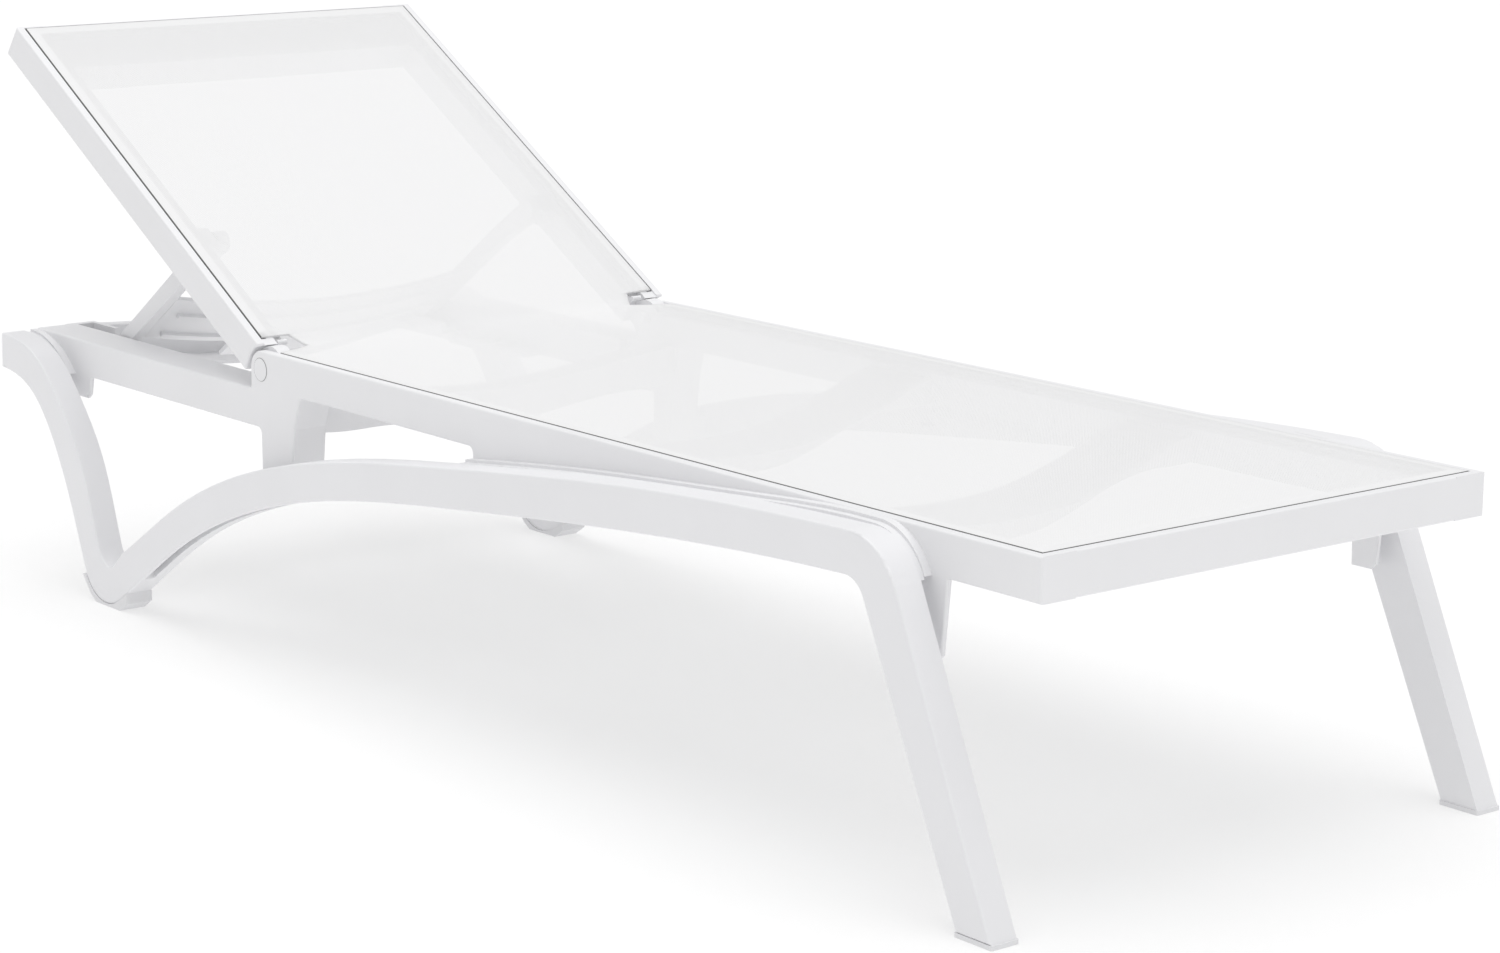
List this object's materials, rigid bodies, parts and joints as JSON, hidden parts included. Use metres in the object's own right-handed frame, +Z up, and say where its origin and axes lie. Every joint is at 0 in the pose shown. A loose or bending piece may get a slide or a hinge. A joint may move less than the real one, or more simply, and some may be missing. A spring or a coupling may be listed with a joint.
{
  "type": "reclining sun lounger",
  "caption": "White resin sun lounger with a stretched mesh sling, bent side leg frames and a backrest that reclines on a folding prop.",
  "frame": {"origin": "on the floor under the middle of the lounger's bounding box, with the backrest at its resting angle", "axes": "+Z up, +Y from the foot end to the head end, +X to the left of a person lying on it"},
  "size_m": [0.7016, 1.8944, 0.6903],
  "materials": {
    "resin": "fine satin texture",
    "sling_mesh": "coated open mesh",
    "spline_cord": "matt",
    "glide": "satin",
    "steel": "brushed"
  },
  "bodies": {
    "chassis": {"bed_rail_left": "resin", "bed_rail_right": "resin", "crossbeam_front": "resin", "crossbeam_hinge": "resin", "crossbeam_middle": "resin", "foot_rail": "resin", "foot_spline": "spline_cord", "front_foot_left": "glide", "front_foot_right": "glide", "head_crossbeam": "resin", "hinge_cap_left": "resin", "hinge_cap_right": "resin", "hinge_pin_left": "steel", "hinge_pin_right": "steel", "leg_bolts_left": "steel", "leg_bolts_right": "steel", "leg_frame_left": "resin", "leg_frame_right": "resin", "rear_foot_left": "glide", "rear_foot_right": "glide", "seat_sling": "sling_mesh", "seat_spline_left": "spline_cord", "seat_spline_right": "spline_cord"},
    "backrest": {"back_sling": "sling_mesh", "back_spline_left": "spline_cord", "back_spline_right": "spline_cord", "backrest_rail_left": "resin", "backrest_rail_right": "resin", "backrest_top_rail": "resin", "top_spline": "spline_cord"},
    "prop": {"prop_arm_left": "resin", "prop_arm_right": "resin", "prop_panel": "resin", "prop_pin_left": "steel", "prop_pin_right": "steel"}
  },
  "joints": [
    {"name": "backrest_recline", "type": "hinge", "parent": "chassis", "child": "backrest", "pos_m": [0, 0.35122, 0.3334], "axis": [1, 0, 0], "range_deg": [-30.24, 34.5]},
    {"name": "prop_swing", "type": "hinge", "parent": "backrest", "child": "prop", "pos_m": [0, 0.54827, 0.45406], "axis": [1, 0, 0], "range_deg": [-61.9, 54.3]}
  ],
  "couplings": [
    {"joint": "prop_swing", "follows": "backrest_recline", "ratio": -1.79}
  ]
}
